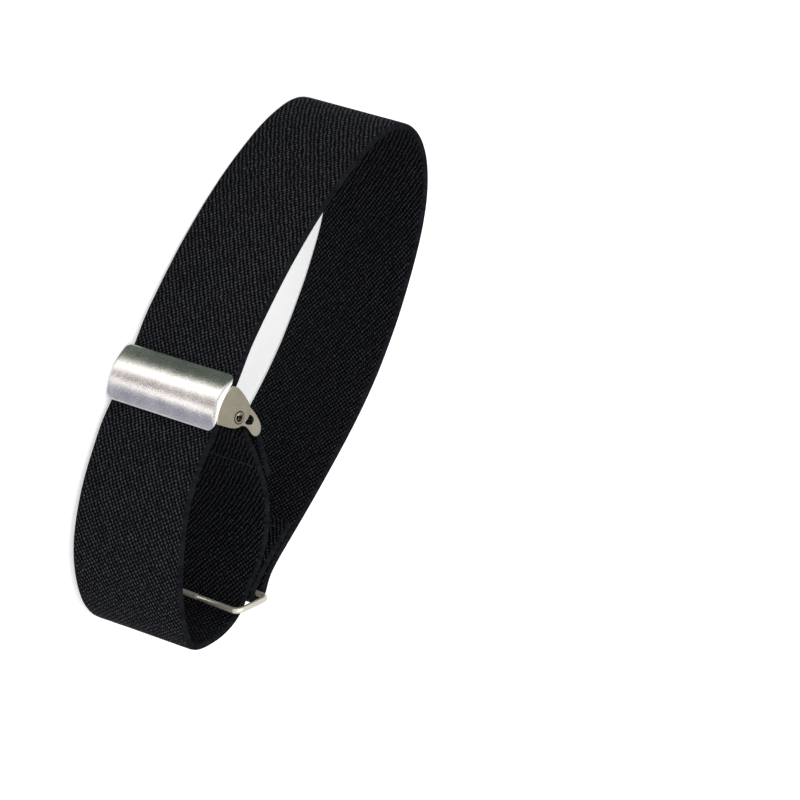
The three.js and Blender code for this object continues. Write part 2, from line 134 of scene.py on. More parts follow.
# The strap's middle line from its cut end at the ring, round the far end, through the clamp, round the
# near end, through the ring and up to the clamp's bar, where its other end is turned back.
# Columns: x and y of the upper edge, how far the lower edge stands from it in x and in y, the lower
# edge's height, and how much narrower the strap is there.
RING_END = [
    (30.6, 29.7, 0.3, 1.1, 1.55, 0),
    (34.8, 28.0, 0.2, 0.8, 1.60, 0),
    (38.9, 26.45, 0.1, 0.4, 1.65, 0),
    (42.4, 25.4, 0.0, 0.1, 1.65, 0),
]
STRAP_TO_BAR = [
    (42.4, 27.6, 0.0, 0.2, 1.65, 0),
    (38.8, 28.5, 0.1, 0.5, 1.60, 0),
    (33.7, 30.5, 0.3, 1.0, 1.45, 0),
    (28.3, 32.7, 0.4, 1.4, 1.28, 0),
    (22.9, 34.8, 0.4, 1.7, 1.12, 0),
    (17.4, 36.8, 0.4, 1.9, 0.98, 0),
    (11.9, 38.7, 0.4, 2.1, 0.86, 0),
    (6.4, 40.4, 0.3, 2.2, 0.76, 0),
    (1.0, 41.8, 0.2, 2.3, 0.66, 0),
    (-4.4, 42.9, 0.1, 2.4, 0.56, 0),
    (-9.8, 43.6, 0.0, 2.5, 0.47, 0),
    (-15.0, 44.1, 0.0, 2.6, 0.38, 0),
    (-20.2, 44.3, 0.0, 2.8, 0.30, 0),
    (-25.5, 44.3, 0.0, 2.9, 0.22, 0),
    (-30.6, 44.1, 0.0, 3.0, 0.15, 0),
    (-35.6, 43.6, -0.1, 2.8, 0.09, 0),
    (-40.6, 42.6, -0.3, 2.4, 0.05, 0),
    (-45.3, 40.9, -0.4, 1.9, 0.02, 0),
    (-49.8, 38.2, -0.6, 1.4, 0.0, 0),
    (-53.0, 34.4, -0.8, 1.0, 0.0, 0),
    (-54.0, 30.2, -1.0, 0.7, 0.0, 0),
    (-52.8, 26.4, -0.7, 0.6, 0.0, 0),
    (-50.1, 23.2, -0.2, 0.4, 0.0, 0),
    (-46.1, 20.3, -0.1, 0.1, 0.0, 0),
    (-40.2, 16.9, 0.0, 0.0, 0.04, 0),
    (-34.3, 13.9, 0.0, 0.0, 0.12, 0),
    (-28.5, 11.4, 0.0, 0.0, 0.22, 0),
    (-22.9, 9.3, 0.0, 0.0, 0.34, 0),
    (-17.4, 7.45, 0.0, 0.0, 0.47, 0),
    (-11.9, 5.85, 0.0, 0.0, 0.61, 0),
    (-6.4, 4.4, 0.0, 0.0, 0.75, 0),
    (-1.1, 3.2, 0.0, 0.0, 0.88, 0),
    (4.8, 2.52, 0.0, 0.0, 0.98, 0),
    (10.8, 1.65, 0.0, 0.0, 1.00, 0),
    (16.8, 0.85, 0.0, 0.0, 1.02, 0),
    (21.7, -0.3, 0.0, 0.2, 1.08, 0),
    (26.7, -0.75, 0.0, 0.4, 1.15, 0),
    (31.8, -0.7, 0.0, 0.2, 1.24, 0),
    (37.2, 0.2, -0.2, -0.45, 1.34, 0),
    (42.9, 1.8, -0.4, -1.25, 1.46, 0),
    (48.0, 3.6, -0.6, -1.75, 1.56, 0),
    (52.3, 5.85, -0.4, -1.9, 1.62, 0),
    (56.0, 8.3, -0.1, -1.5, 1.65, 0),
    (58.5, 10.6, 0.2, -0.9, 1.65, 0),
    (59.55, 12.1, 0.75, 0.6, 1.65, 0),
    (59.0, 14.2, 1.3, 1.0, 1.65, 0),
    (57.4, 16.9, 1.3, 1.0, 1.65, 0),
    (55.4, 19.4, 0.8, 0.7, 1.65, 0),
    (52.6, 21.5, 0.4, 0.4, 1.65, 0),
    (49.9, 22.5, 0.1, 0.2, 1.65, 0),
    (47.0, 22.85, 0.0, 0.0, 1.65, 0),
    (43.9, 23.15, 0.0, 0.0, 1.62, 0),
    (40.8, 23.9, 0.0, 0.0, 1.60, 0),
    (35.1, 23.8, 0.0, 0.0, 1.50, 0),
    (30.0, 22.5, 0.0, 0.0, 1.40, 0.1),
    (25.7, 20.4, 0.0, 0.0, 1.35, 0.4),
    (22.1, 17.45, 0.0, 0.0, 1.40, 0.7),
    (18.9, 14.5, 0.0, 0.0, 1.50, 1.0),
]
BAR_END = [
    (15.2, 13.95, 0.0, 0.0, 1.55, 1.1),
    (17.95, 16.55, 0.0, 0.0, 1.55, 1.1),
    (20.5, 18.65, 0.0, 0.0, 1.45, 0.9),
    (22.5, 20.05, 0.0, 0.0, 1.40, 0.7),
]
# Where the strap turns round the ring's outside and round the bar: angles in plan, lift and narrowing
RING_EYE = {"from": -102, "to": 84, "lift": 1.65, "gather": 0.0}
BAR_EYE = {"from": -44, "to": -226, "lift": 1.55, "gather": 1.1}

# Outlines of the clamp's sheet parts in the same plan
EAR_OUTLINE = [
    (6.9, 0.65), (7.0, 2.6), (9.5, 7.0), (10.5, 7.65), (11.7, 7.8),
    (13.1, 7.3), (14.35, 6.1), (14.95, 4.4), (15.05, -0.5),
]
EAR_FRONT = [(12.9, -1.1), (10.8, -1.0), (8.8, -0.5)]
CHEEK_OUTLINE = [
    (11.2, 3.9), (12.6, 3.4), (13.9, 4.2), (14.2, 6.0), (14.0, 8.6), (15.3, 11.4), (15.2, 12.5),
    (14.4, 13.1), (13.3, 12.9), (11.75, 11.4), (9.9, 7.6), (10.1, 5.6),
]
CHEEK_WINDOW = [(11.5, 8.3), (13.3, 8.0), (13.3, 10.0), (12.1, 10.2)]
LEVER_WEB_LINE = [(12.2, 2.6), (11.2, 4.6), (10.5, 6.3), (10.2, 7.8), (11.6, 10.8)]

# The stitches: their sizes, and their rows on the outer faces of the doubled strap: a place in the plan
# at the strap's upper edge, and how far the lower edge stands from it
STITCH_LENGTH = 1.7
STITCH_PITCH = 2.3
STITCH_RADIUS = 0.2
STITCH_SIDES = 6
STITCH_TAPER_SHARE = 0.2
STITCH_TIP_SHARE = 0.4
STITCH_SMOOTH_ANGLE = 60
STITCHED_HEIGHTS = (3.2, 30.2)
RING_END_ROWS = [
    ((36.25, 26.70), (0.16, 0.63)),
    ((32.15, 28.30), (0.26, 0.97)),
    ((37.06, 29.93), (0.18, 0.70)),
    ((33.06, 31.52), (0.32, 1.05)),
]
BAR_END_ROWS = [((20.0, 19.17), (0, 0)), ((21.35, 15.85), (0, 0))]


def metres(x, y, z=0.0):
    return Vector((x, y, z)) * MM


def centred(place, height=0.0):
    """A place in the plan, with a height, as a point of the frame in metres."""
    return metres(place[0] - PLAN_MIDDLE.x, place[1] - PLAN_MIDDLE.y, height)


# Working in edit mode

def deselect_everything():
    if bpy.context.object and bpy.context.object.mode != "OBJECT":
        bpy.ops.object.mode_set(mode="OBJECT")
    bpy.ops.object.select_all(action="DESELECT")


def begin_with_point(name, place):
    """A new mesh in edit mode that holds one selected point: a plane merged to its middle."""
    deselect_everything()
    bpy.ops.mesh.primitive_plane_add(size=MM, location=place)
    piece = bpy.context.object
    piece.name = name
    piece.data.name = name
    bpy.ops.object.mode_set(mode="EDIT")
    bpy.ops.mesh.select_mode(type="VERT")
    bpy.ops.mesh.select_all(action="SELECT")
    bpy.ops.mesh.merge(type="CENTER")
    return piece


def another_point(place):
    """One more selected point in the mesh that is being edited."""
    bpy.ops.mesh.select_all(action="DESELECT")
    bpy.ops.mesh.primitive_plane_add(size=MM, location=place)
    bpy.ops.mesh.merge(type="CENTER")


def draw_through(points):
    """Extrudes the selected point from the first of the points through all the others."""
    for here, there in zip(points, points[1:]):
        bpy.ops.mesh.extrude_region_move(TRANSFORM_OT_translate={"value": there - here})


def extrude_by(step):
    bpy.ops.mesh.extrude_region_move(TRANSFORM_OT_translate={"value": step})


def select_points(piece, wanted):
    """Selects the points of the edited mesh for which wanted(place) is true, and nothing else."""
    mesh = bmesh.from_edit_mesh(piece.data)
    for face in mesh.faces:
        face.select = False
    for edge in mesh.edges:
        edge.select = False
    for vertex in mesh.verts:
        vertex.select = bool(wanted(piece.matrix_world @ vertex.co))
    mesh.select_flush_mode()
    mesh.select_flush(True)
    bmesh.update_edit_mesh(piece.data)


def close_open_ends():
    """Fills every open end of the mesh that is being edited."""
    bpy.ops.mesh.select_all(action="DESELECT")
    bpy.ops.mesh.select_mode(type="EDGE")
    bpy.ops.mesh.select_non_manifold(extend=False)
    bpy.ops.mesh.fill_holes(sides=0)


def leave_edit_mode(piece):
    """Back to object mode, with the piece's place moved into its mesh."""
    bpy.ops.object.mode_set(mode="OBJECT")
    deselect_everything()
    piece.select_set(True)
    bpy.context.view_layer.objects.active = piece
    bpy.ops.object.transform_apply(location=True, rotation=True, scale=True)


def finish_with(piece, kind, **values):
    """Adds a modifier with these values and applies it."""
    deselect_everything()
    piece.select_set(True)
    bpy.context.view_layer.objects.active = piece
    modifier = piece.modifiers.new(kind.lower(), kind)
    for name, value in values.items():
        setattr(modifier, name, value)
    bpy.ops.object.modifier_apply(modifier=modifier.name)


def smooth_by_angle(piece, degrees):
    deselect_everything()
    piece.select_set(True)
    bpy.context.view_layer.objects.active = piece
    bpy.ops.object.shade_smooth_by_angle(angle=math.radians(degrees))


def round_edges(piece, width, sharper_than, segments=2):
    """Rounds the edges of a piece that turn by more than so many degrees."""
    finish_with(piece, "BEVEL", width=width * MM, segments=segments, limit_method="ANGLE",
                angle_limit=math.radians(sharper_than))


def clean_normals(piece):
    """Merges doubles and turns all faces outwards."""
    deselect_everything()
    piece.select_set(True)
    bpy.context.view_layer.objects.active = piece
    bpy.ops.object.mode_set(mode="EDIT")
    bpy.ops.mesh.select_all(action="SELECT")
    bpy.ops.mesh.remove_doubles(threshold=ONE_POINT * MM)
    bpy.ops.mesh.normals_make_consistent(inside=False)
    bpy.ops.object.mode_set(mode="OBJECT")


def join_pieces(name, pieces):
    deselect_everything()
    for piece in pieces:
        piece.select_set(True)
    bpy.context.view_layer.objects.active = pieces[0]
    if len(pieces) > 1:
        bpy.ops.object.join()
    pieces[0].name = name
    pieces[0].data.name = name
    return pieces[0]


def fuse_with(piece, other):
    """Adds one closed piece to another and removes the one that was added."""
    finish_with(piece, "BOOLEAN", operation="UNION", object=other, solver="EXACT")
    bpy.data.objects.remove(other, do_unlink=True)


def cut_with(piece, cutter):
    """Cuts one closed piece out of another and removes the cutter."""
    finish_with(piece, "BOOLEAN", operation="DIFFERENCE", object=cutter, solver="EXACT")
    bpy.data.objects.remove(cutter, do_unlink=True)


# Curves through the tables' points

def centripetal(points, index, share):
    """A point of the centripetal Catmull-Rom curve between points[index] and points[index + 1]."""
    second = points[index]
    third = points[index + 1]
    first = points[index - 1] if index > 0 else second * 2 - third
    fourth = points[index + 2] if index + 2 < len(points) else third * 2 - second
    before = math.sqrt((second - first).length)
    within = math.sqrt((third - second).length)
    after = math.sqrt((fourth - third).length)
    leave = (second - first) / before - (third - first) / (before + within) + (third - second) / within
    arrive = (third - second) / within - (fourth - second) / (within + after) + (fourth - third) / after
    leave *= within
    arrive *= within
    square = third * 3 - second * 3 - leave * 2 - arrive
    cube = second * 2 - third * 2 + leave + arrive
    return second + leave * share + square * share ** 2 + cube * share ** 3


def rounded_line(points, steps):
    """A smooth line through points, with so many steps from each to the next."""
    line = []
    for index in range(len(points) - 1):
        line += [centripetal(points, index, k / steps) for k in range(steps)]
    return line + [points[-1]]


def rounded_loop(points, steps):
    """A smooth closed line through points, without its first point repeated at the end."""
    around = points[-2:] + points + points[:2]
    line = []
    for index in range(2, len(points) + 2):
        line += [centripetal(around, index, k / steps) for k in range(steps)]
    return line


def arc_in_plan(centre, radius, start, end, steps):
    angles = [math.radians(start + (end - start) * i / steps) for i in range(steps + 1)]
    return [(centre[0] + radius * math.cos(a), centre[1] + radius * math.sin(a)) for a in angles]


# The elastic strap

def strap_rows():
    """The tables and the two eyes as one list of rows."""
    ring_eye_radius = WIRE_RADIUS + EYE_GAP + STRAP_THICKNESS / 2
    bar_eye_radius = BAR_RADIUS + EYE_GAP + STRAP_THICKNESS / 2

    def eye(centre, radius, values):
        places = arc_in_plan(centre, radius, values["from"], values["to"], EYE_STEPS)
        return [(x, y, 0.0, 0.0, values["lift"], values["gather"]) for x, y in places]

    ring_rows = RING_END + eye(RING_OUTSIDE, ring_eye_radius, RING_EYE)
    bar_rows = eye(BAR, bar_eye_radius, BAR_EYE) + BAR_END
    return ring_rows + STRAP_TO_BAR + bar_rows


def strap_edges():
    """The upper and the lower edge of the strap's middle surface, station by station."""
    rows = strap_rows()
    upper = [centred((x, y), lift + STRAP_WIDTH - gather) for x, y, _, _, lift, gather in rows]
    lower = [centred((x + shift_x, y + shift_y), lift) for x, y, shift_x, shift_y, lift, _ in rows]
    top = []
    bottom = []
    for index in range(len(rows) - 1):
        length = (upper[index + 1] - upper[index]).length / MM
        count = max(1, round(length / STATION_STEP))
        for k in range(count):
            top.append(centripetal(upper, index, k / count))
            bottom.append(centripetal(lower, index, k / count))
    return top + [upper[-1]], bottom + [lower[-1]]


def lay_out_weave(strap, first_low, first_high):
    """A UV map along the strap: U runs across from 0 to 1, and V grows by 1 for each width of length."""
    mesh = bmesh.from_edit_mesh(strap.data)
    weave = mesh.loops.layers.uv.new("weave")
    cut_end = (first_high - first_low).length * CUT_END_SLACK

    def on_cut_end(vertex):
        place = strap.matrix_world @ vertex.co
        return (place - first_low).length + (place - first_high).length < cut_end

    row = [vertex for vertex in mesh.verts if on_cut_end(vertex)]
    row.sort(key=lambda vertex: vertex.co.z)
    seen = set()
    places = {}
    travelled = 0.0
    while row:
        seen.update(row)
        for index, vertex in enumerate(row):
            places[vertex] = (index / (len(row) - 1), travelled / (STRAP_WIDTH * MM))
        steps = [(vertex, edge.other_vert(vertex)) for vertex in row for edge in vertex.link_edges
                 if edge.other_vert(vertex) not in seen]
        if steps:
            travelled += sum((there.co - here.co).length for here, there in steps) / len(steps)
        row = [there for _, there in steps]
    for face in mesh.faces:
        for loop in face.loops:
            loop[weave].uv = places[loop.vert]
    bmesh.update_edit_mesh(strap.data)


def make_elastic_strap():
    """One ribbon between two drawn edges, thickened, its rims rounded."""
    top, bottom = strap_edges()
    strap = begin_with_point("elastic_strap", top[0])
    draw_through(top)
    another_point(bottom[0])
    draw_through(bottom)
    bpy.ops.mesh.select_all(action="SELECT")
    bpy.ops.mesh.select_mode(type="EDGE")
    bpy.ops.mesh.bridge_edge_loops(type="SINGLE", number_cuts=ACROSS_CUTS, interpolation="LINEAR")
    lay_out_weave(strap, bottom[0], top[0])
    leave_edit_mode(strap)
    finish_with(strap, "SOLIDIFY", thickness=STRAP_THICKNESS * MM, offset=0.0, use_even_offset=True)
    round_edges(strap, STRAP_RIM_ROUNDING, STRAP_RIM_ANGLE)
    finish_with(strap, "SUBSURF", levels=1, render_levels=1)
    smooth_by_angle(strap, STRAP_SMOOTH_ANGLE)
    return strap


# The wire ring

def make_ring_wire():
    """Round wire bent to a rectangle, its two cut ends meeting on the inside long side."""
    inside = centred(RING_INSIDE)
    outside = centred(RING_OUTSIDE)
    across = (outside - inside).normalized()
    up = Vector((0, 0, 1))
    axis = across.cross(up)
    radius = WIRE_RADIUS * MM
    low = radius
    high = radius + (RING_INNER_LENGTH + 2 * WIRE_RADIUS) * MM
    joint = RING_JOINT_HEIGHT * MM
    corner = RING_CORNER_RADIUS * MM
    gap = RING_JOINT_GAP * MM
    place = inside + up * (joint + gap / 2)
    deselect_everything()
    bpy.ops.mesh.primitive_circle_add(vertices=WIRE_SIDES, radius=radius, location=place)
    ring = bpy.context.object
    ring.name = "ring_wire"
    ring.data.name = "ring_wire"
    bpy.ops.object.mode_set(mode="EDIT")
    bpy.ops.mesh.select_all(action="SELECT")
    reach = (outside - inside).length
    first_stretch = (high - corner) - (joint + gap / 2)
    last_stretch = (joint - gap / 2) - (low + corner)
    runs = [
        (first_stretch, up, across),
        (reach - 2 * corner, across, -up),
        (high - low - 2 * corner, -up, -across),
        (reach - 2 * corner, -across, up),
    ]
    for length, heading, turned in runs:
        extrude_by(heading * length)
        place = place + heading * length
        centre = place + turned * corner
        bpy.ops.mesh.spin(steps=RING_CORNER_STEPS, angle=math.pi / 2, center=centre, axis=axis)
        place = centre + heading * corner
    extrude_by(up * last_stretch)
    bpy.ops.mesh.select_all(action="SELECT")
    bpy.ops.mesh.remove_doubles(threshold=ONE_POINT * MM)
    close_open_ends()
    leave_edit_mode(ring)
    clean_normals(ring)
    round_edges(ring, RING_EDGE_ROUNDING, RING_EDGE_ANGLE)
    smooth_by_angle(ring, RING_SMOOTH_ANGLE)
    return ring


# The clamp

def clamp_axes():
    """The middle of the cover's chord, its direction along the strap, the front's direction, its length."""
    far = centred(COVER_EDGE_FAR)
    near = centred(COVER_EDGE_NEAR)
    along = (near - far).normalized()
    return (far + near) / 2, along, Vector((along.y, -along.x, 0)), (near - far).length


def turn_in_ends(cover, middle):
    """Flattens the bow towards each end of the cover, so that its short sides are turned in."""
    height = CLAMP_WIDTH * MM
    depth = COVER_LIP_DEPTH * MM
    for cut in range(1, COVER_LIP_CUTS + 1):
        for level in (depth * cut / COVER_LIP_CUTS, height - depth * cut / COVER_LIP_CUTS):
            bpy.ops.mesh.select_all(action="SELECT")
            bpy.ops.mesh.bisect(plane_co=(0, 0, level), plane_no=(0, 0, 1))
    mesh = bmesh.from_edit_mesh(cover.data)
    levels = sorted({round((cover.matrix_world @ vertex.co).z, PLACE_DIGITS) for vertex in mesh.verts})
    for level in levels:
        inward = 1 - min(level, height - level) / depth
        if inward > 0:
            select_points(cover, lambda place: abs(place.z - level) < ON_CUT * MM)
            bpy.ops.transform.resize(value=(1, 1, 1 - COVER_LIP_TURN * inward ** 2), orient_type="LOCAL",
                                     center_override=middle)
    bpy.ops.mesh.select_all(action="DESELECT")


def make_clamp_cover():
    """The bulged cover: a plate with rounded corners, bowed, its ends turned in a little."""
    middle, along, front, chord = clamp_axes()
    radius = chord ** 2 / (8 * COVER_RISE * MM) + COVER_RISE * MM / 2
    half_width = CLAMP_WIDTH * MM / 2
    deselect_everything()
    facing = Matrix((along, Vector((0, 0, 1)), front)).transposed().to_euler()
    bpy.ops.mesh.primitive_plane_add(size=1, location=middle + Vector((0, 0, half_width)), rotation=facing)
    cover = bpy.context.object
    cover.name = "clamp_cover"
    cover.data.name = "clamp_cover"
    cover.scale = (chord, CLAMP_WIDTH * MM, 1)
    bpy.ops.object.transform_apply(location=False, rotation=False, scale=True)
    bpy.ops.object.mode_set(mode="EDIT")
    bpy.ops.mesh.select_all(action="SELECT")
    bpy.ops.mesh.bevel(offset=COVER_CORNER_RADIUS * MM, segments=COVER_CORNER_CUTS, affect="VERTICES")
    for column in range(1, COVER_COLUMNS):
        bpy.ops.mesh.select_all(action="SELECT")
        place = middle + along * chord * (column / COVER_COLUMNS - 0.5)
        bpy.ops.mesh.bisect(plane_co=place, plane_no=along)
    mesh = bmesh.from_edit_mesh(cover.data)
    stands = sorted({round(vertex.co.x, PLACE_DIGITS) for vertex in mesh.verts})
    for stand in stands:
        rise = math.sqrt(radius ** 2 - min(abs(stand), chord / 2) ** 2) - (radius - COVER_RISE * MM)
        select_points(cover, lambda place: abs((place - middle).dot(along) - stand) < ON_CUT * MM)
        bpy.ops.transform.translate(value=front * rise)
    turn_in_ends(cover, middle)
    leave_edit_mode(cover)
    finish_with(cover, "SOLIDIFY", thickness=SHEET * MM, offset=-1.0, use_even_offset=True)
    round_edges(cover, COVER_EDGE_ROUNDING, COVER_EDGE_ANGLE, segments=3)
    smooth_by_angle(cover, CLAMP_SMOOTH_ANGLE)
    return cover


def sheet_from_outline(name, points, low, thickness):
    """A flat sheet with this outline, from the height low upwards, all in metres."""
    lifted = [Vector((point.x, point.y, low)) for point in points]
    sheet = begin_with_point(name, lifted[0])
    draw_through(lifted)
    bpy.ops.mesh.select_all(action="SELECT")
    bpy.ops.mesh.edge_face_add()
    bpy.ops.mesh.select_all(action="SELECT")
    extrude_by(Vector((0, 0, thickness)))
    leave_edit_mode(sheet)
    clean_normals(sheet)
    return sheet


def round_rod(name, place, radius, low, high, sides=ROD_SIDES):
    """An upright rod at a place in the plan. Its radius and heights are in metres."""
    deselect_everything()
    centre = centred(place) + Vector((0, 0, (low + high) / 2))
    bpy.ops.mesh.primitive_cylinder_add(vertices=sides, radius=radius, depth=high - low, location=centre)
    rod = bpy.context.object
    rod.name = name
    leave_edit_mode(rod)
    return rod


def round_ear_folds(ears, root_far, front, low, high):
    """Rounds the outside edges of the ears' bowed fronts."""
    near = ON_FOLD * MM
    deselect_everything()
    bpy.context.view_layer.objects.active = ears
    bpy.ops.object.mode_set(mode="EDIT")
    bpy.ops.mesh.select_mode(type="EDGE")

    def on_fold(place):
        in_front = (place - root_far).dot(front) > near
        return in_front and min(abs(place.z - low), abs(place.z - high)) < near

    select_points(ears, on_fold)
    bpy.ops.mesh.bevel(offset=EAR_FOLD_RADIUS * MM, segments=EAR_FOLD_CUTS, affect="EDGES")
    bpy.ops.object.mode_set(mode="OBJECT")


def make_clamp_ears():
    """The frame behind the cover: a web along the strap's front and an ear with a hole at each end.

    The ears' front edges follow the cover's bow.
    """
    low = FRAME_INSET * MM
    high = (CLAMP_WIDTH - FRAME_INSET) * MM
    front = clamp_axes()[2]
    sheet = SHEET * MM
    outline = rounded_line([centred(place) for place in EAR_OUTLINE], EAR_LINE_STEPS)
    root_far = outline[0]
    root_near = outline[-1]
    bow = [root_near] + [centred(place) for place in EAR_FRONT] + [root_far]
    outline += rounded_line(bow, EAR_BOW_STEPS)[1:-1]
    web_outline = [root_far, root_near, root_near - front * sheet, root_far - front * sheet]
    web = sheet_from_outline("ear_web", web_outline, low, high - low)
    lower = sheet_from_outline("ear_lower", outline, low, sheet)
    upper = sheet_from_outline("ear_upper", outline, high - sheet, sheet)
    fuse_with(web, lower)
    fuse_with(web, upper)
    drill = round_rod("ear_drill", PIVOT, EAR_HOLE_RADIUS * MM, -CUT_MARGIN * MM,
                      (CLAMP_WIDTH + CUT_MARGIN) * MM, EAR_HOLE_SIDES)
    cut_with(web, drill)
    ears = join_pieces("clamp_ears", [web])
    round_ear_folds(ears, root_far, front, low, high)
    round_edges(ears, EAR_EDGE_ROUNDING, SHEET_EDGE_ANGLE)
    smooth_by_angle(ears, CLAMP_SMOOTH_ANGLE)
    return ears


def make_clamp_toggle():
    """The lever: two cheeks on hollow bosses, a web between them and the bar that holds the strap's end."""
    low = (FRAME_INSET + SHEET + CHEEK_GAP) * MM
    high = CLAMP_WIDTH * MM - low
    cheek = CHEEK_SHEET * MM
    outline = rounded_loop([centred(place) for place in CHEEK_OUTLINE], LEVER_LINE_STEPS)
    window = rounded_loop([centred(place) for place in CHEEK_WINDOW], LEVER_LINE_STEPS)
    boss_out = (FRAME_INSET - BOSS_PROUD) * MM
    beyond = CUT_MARGIN * MM
    parts = []
    for name, bottom, ends in (
        ("cheek_lower", low, (boss_out, low + cheek)),
        ("cheek_upper", high - cheek, (high - cheek, CLAMP_WIDTH * MM - boss_out)),
    ):
        side = sheet_from_outline(name, outline, bottom, cheek)
        cut_with(side, sheet_from_outline("window_cutter", window, bottom - beyond, cheek + 2 * beyond))
        fuse_with(side, round_rod("boss", PIVOT, BOSS_RADIUS * MM, ends[0], ends[1]))
        cut_with(side, round_rod("bore", PIVOT, BOSS_BORE_RADIUS * MM, ends[0] - beyond, ends[1] + beyond))
        parts.append(side)
    line = rounded_line([centred(place) for place in LEVER_WEB_LINE], LEVER_LINE_STEPS)
    web = begin_with_point("lever_web", line[0] + Vector((0, 0, low + cheek)))
    draw_through(line)
    bpy.ops.mesh.select_all(action="SELECT")
    extrude_by(Vector((0, 0, high - low - 2 * cheek)))
    leave_edit_mode(web)
    finish_with(web, "SOLIDIFY", thickness=SHEET * MM, offset=0.0, use_even_offset=True)
    bar = round_rod("lever_bar", BAR, BAR_RADIUS * MM, low + cheek, high - cheek)
    toggle = join_pieces("clamp_toggle", parts + [web, bar])
    round_edges(toggle, LEVER_EDGE_ROUNDING, SHEET_EDGE_ANGLE)
    smooth_by_angle(toggle, CLAMP_SMOOTH_ANGLE)
    return toggle


# The stitches

def stitch_row(place, shift, low, high):
    """Short stitches of thread one above the other, half sunk in the cloth, and leaning as it does."""
    count = int((high - low) / STITCH_PITCH)
    first = (low + high - (count - 1) * STITCH_PITCH - STITCH_LENGTH) / 2
    lean = metres(*shift) / STRAP_WIDTH
    step = metres(0, 0, STITCH_PITCH) - lean * STITCH_PITCH
    foot = centred(place, first) + lean * (STRAP_WIDTH - first)
    tip_radius = STITCH_RADIUS * STITCH_TIP_SHARE * MM
    deselect_everything()
    bpy.ops.mesh.primitive_circle_add(vertices=STITCH_SIDES, radius=tip_radius, location=foot)
    stitch = bpy.context.object
    bpy.ops.object.mode_set(mode="EDIT")
    bpy.ops.mesh.select_all(action="SELECT")
    taper = STITCH_LENGTH * STITCH_TAPER_SHARE
    stretches = ((taper, 1 / STITCH_TIP_SHARE), (STITCH_LENGTH - 2 * taper, 1.0), (taper, STITCH_TIP_SHARE))
    for length, growth in stretches:
        extrude_by(metres(0, 0, length))
        bpy.ops.transform.resize(value=(growth, growth, 1))
    close_open_ends()
    leave_edit_mode(stitch)
    clean_normals(stitch)
    row = [stitch]
    for _ in range(count - 1):
        bpy.ops.object.duplicate()
        bpy.ops.transform.translate(value=step)
        row.append(bpy.context.object)
    return row


def make_stitches(name, places, low, high):
    """Rows of stitches at places in the plan, between two heights, as one mesh."""
    rows = [stitch for place, shift in places for stitch in stitch_row(place, shift, low, high)]
    stitches = join_pieces(name, rows)
    leave_edit_mode(stitches)
    smooth_by_angle(stitches, STITCH_SMOOTH_ANGLE)
    return stitches


# Camera, floor and light

def make_camera():
    roll = math.radians(CAMERA_ROLL)
    down = math.radians(CAMERA_LOOKS_DOWN)
    right = Vector((math.cos(roll), math.sin(roll) * math.sin(down), math.sin(roll) * math.cos(down)))
    up = Vector((-math.sin(roll), math.cos(roll) * math.sin(down), math.cos(roll) * math.cos(down)))
    forward = Vector((0, math.cos(down), -math.sin(down)))
    turned = Matrix((right, up, -forward)).transposed().to_euler()
    deselect_everything()
    bpy.ops.object.camera_add(location=metres(*CAMERA_PLACE), rotation=turned)
    camera = bpy.context.object
    camera.name = "camera"
    camera.data.sensor_width = SENSOR_WIDTH
    camera.data.lens = FOCAL_PIXELS * SENSOR_WIDTH / PICTURE_PIXELS
    camera.data.clip_start = CAMERA_SEES_FROM_METRES
    camera.data.clip_end = CAMERA_SEES_TO_METRES
    bpy.context.scene.camera = camera


def make_floor():
    """A pale floor that gives off a little light of its own and doesn't show in reflections."""
    deselect_everything()
    bpy.ops.mesh.primitive_plane_add(size=FLOOR_SIZE_METRES, location=(0, 0, 0))
    floor = bpy.context.object
    floor.name = "floor"
    material, shader, _, _ = new_material("pale_floor")
    shader.inputs["Base Color"].default_value = (0.86, 0.86, 0.86, 1)
    shader.inputs["Roughness"].default_value = 0.9
    shader.inputs["Specular IOR Level"].default_value = 0.1
    shader.inputs["Emission Color"].default_value = (1, 1, 1, 1)
    shader.inputs["Emission Strength"].default_value = 0.35
    floor.data.materials.append(material)
    floor.visible_glossy = False


def soft_light(name, place, watts):
    """A square area light that faces the origin."""
    deselect_everything()
    turned = Vector(place).to_track_quat("Z", "Y").to_euler()
    bpy.ops.object.light_add(type="AREA", location=place, rotation=turned)
    light = bpy.context.object
    light.name = name
    light.data.size = LIGHT_SIZE_METRES
    light.data.energy = watts


# The world above the horizon, and the heights of direction between which it gives way to the bands
UPPER_LIGHT = (0.78, 0.79, 0.81, 1)
BANDS_START = 0.02
BANDS_FULL = -0.1

# The light from below the horizon that the plate mirrors: the direction round the object, from the front
# and positive towards the ring end, and the light's colour there
REFLECTED_BANDS = [
    (-180, (1.0, 1.0, 1.0)),
    (-122, (1.0, 1.0, 1.0)),
    (-104, (0.16, 0.18, 0.16)),
    (-80, (0.10, 0.125, 0.105)),
    (-54, (0.11, 0.14, 0.115)),
    (-44, (0.45, 0.46, 0.43)),
    (-36, (1.9, 1.86, 1.78)),
    (-22, (1.9, 1.86, 1.78)),
    (-12, (0.58, 0.53, 0.53)),
    (5, (0.52, 0.46, 0.46)),
    (11, (1.75, 1.71, 1.66)),
    (17, (1.75, 1.71, 1.66)),
    (23, (0.42, 0.42, 0.49)),
    (45, (0.40, 0.40, 0.49)),
    (62, (0.50, 0.50, 0.55)),
    (100, (1.1, 1.1, 1.1)),
    (179, (1.0, 1.0, 1.0)),
]


